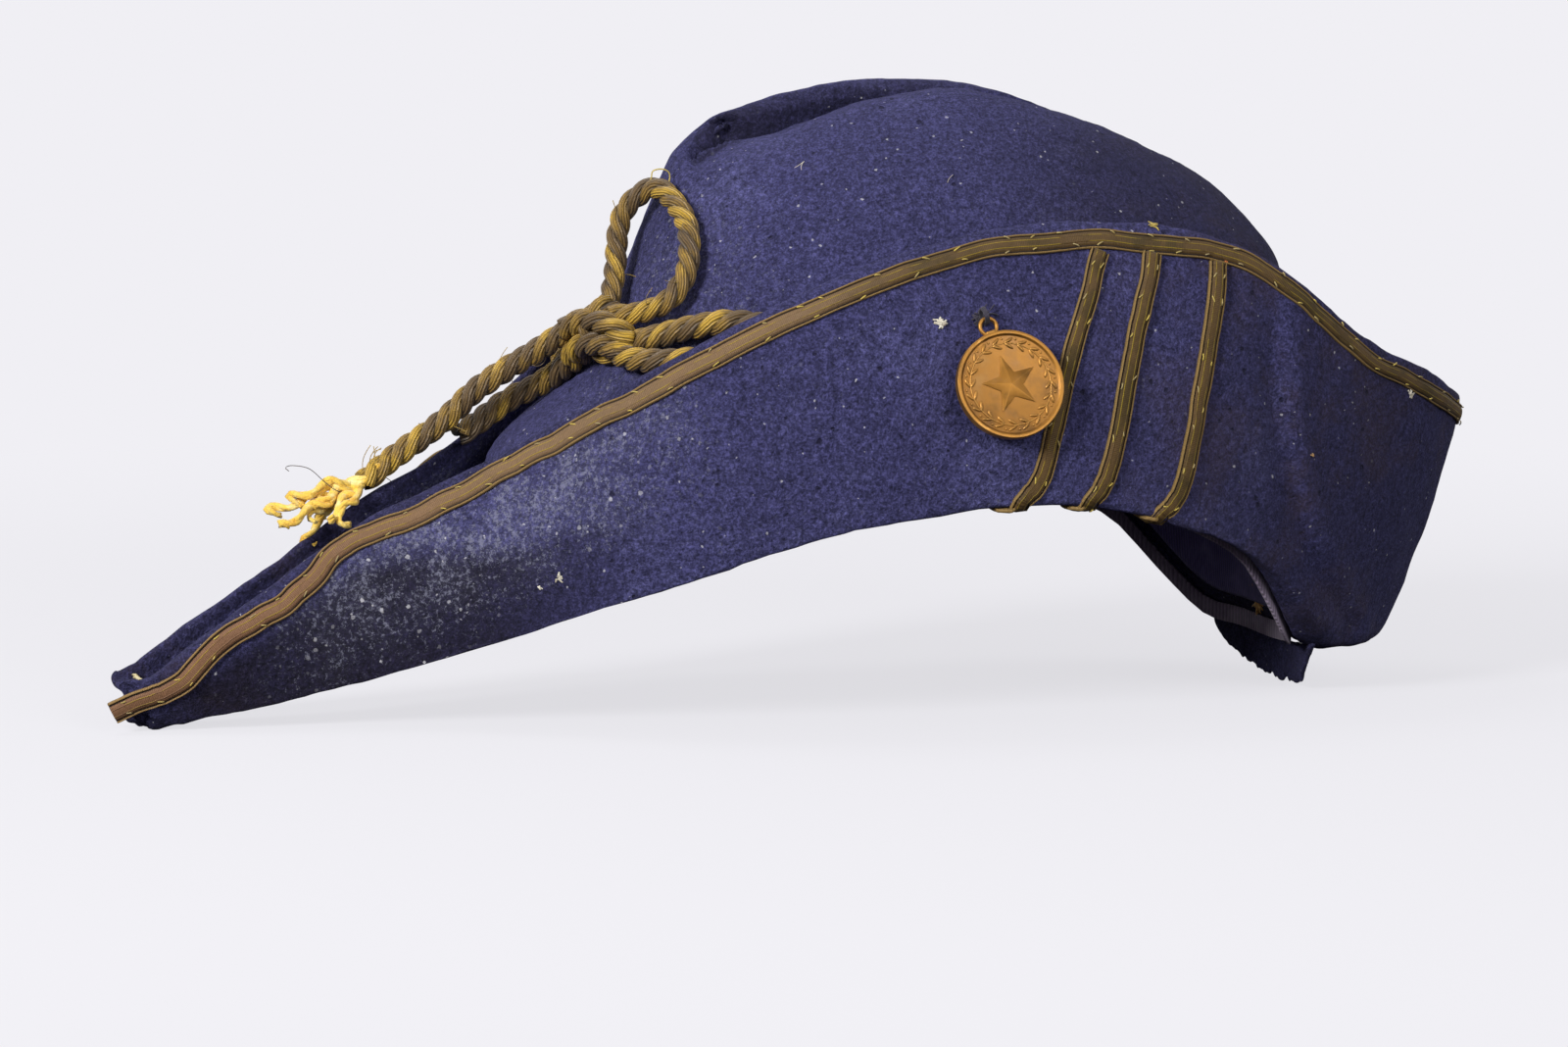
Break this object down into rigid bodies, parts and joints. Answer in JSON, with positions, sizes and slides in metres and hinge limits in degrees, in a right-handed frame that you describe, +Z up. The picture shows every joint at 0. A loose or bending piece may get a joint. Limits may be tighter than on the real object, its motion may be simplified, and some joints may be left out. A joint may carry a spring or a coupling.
{
  "type": "felt hat",
  "caption": "Navy felt costume hat with a pinched crown, turned-up brim drawn out into a long beak, gold braid edging and stripes, a tied gold cord and a hanging medal.",
  "frame": {"origin": "centre of the head opening, in the plane on which the beak's tip and the torn strip under the nape rest", "axes": "+X towards the nape, the beak points along -X; +Y towards the wearer's right, so the stripes and the medal are on the -Y side; +Z up"},
  "size_m": [0.3858, 0.1671, 0.1693],
  "materials": {
    "crown": "navy wool felt, matt, napped",
    "brim": "navy wool felt, matt, napped",
    "nape_strip": "torn dark felt",
    "sweatband": "purple-blue lining cloth",
    "head_tape": "purple-grey grosgrain tape with chain stitch",
    "edge_braid": "woven braid, dull gold over brown",
    "stripe_braid_front": "woven braid, dull gold",
    "stripe_braid_middle": "woven braid, dull gold",
    "stripe_braid_rear": "woven braid, dull gold",
    "edge_stitches": "yellow sewing thread",
    "stripe_stitches": "yellow sewing thread",
    "tip_tack": "pale thread",
    "cord_band": "twisted three-strand cord, dull gold",
    "cord_knot": "twisted three-strand cord, dull gold",
    "cord_bow": "twisted three-strand cord, dull gold",
    "cord_side_end": "twisted three-strand cord, dull gold",
    "cord_long_end": "twisted three-strand cord, dull gold",
    "cord_short_end": "twisted three-strand cord, dull gold",
    "cord_fray": "untwisted yellow yarns",
    "medal_tack": "dark sewing thread",
    "medal_thread": "dark sewing thread",
    "medal": "worn bronze with a brown patina"
  },
  "bodies": {
    "hat": {"crown": "crown", "brim": "brim", "nape_strip": "nape_strip", "sweatband": "sweatband", "head_tape": "head_tape", "edge_braid": "edge_braid", "stripe_braid_front": "stripe_braid_front", "stripe_braid_middle": "stripe_braid_middle", "stripe_braid_rear": "stripe_braid_rear", "edge_stitches": "edge_stitches", "stripe_stitches": "stripe_stitches", "tip_tack": "tip_tack", "cord_band": "cord_band", "cord_knot": "cord_knot", "cord_bow": "cord_bow", "cord_side_end": "cord_side_end", "cord_long_end": "cord_long_end", "cord_short_end": "cord_short_end", "cord_fray": "cord_fray", "medal_tack": "medal_tack"},
    "thread_loop": {"medal_thread": "medal_thread"},
    "medal": {"medal": "medal"}
  },
  "joints": [
    {"name": "medal_swing", "type": "hinge", "parent": "hat", "child": "thread_loop", "pos_m": [0.00674, -0.07538, 0.11108], "axis": [-0.0191, -0.9513, 0.3076], "range_deg": [-60, 60]},
    {"name": "medal_lift", "type": "hinge", "parent": "thread_loop", "child": "medal", "pos_m": [0.00698, -0.07565, 0.11025], "axis": [-0.9628, -0.0654, -0.2623], "range_deg": [0, 100]}
  ]
}
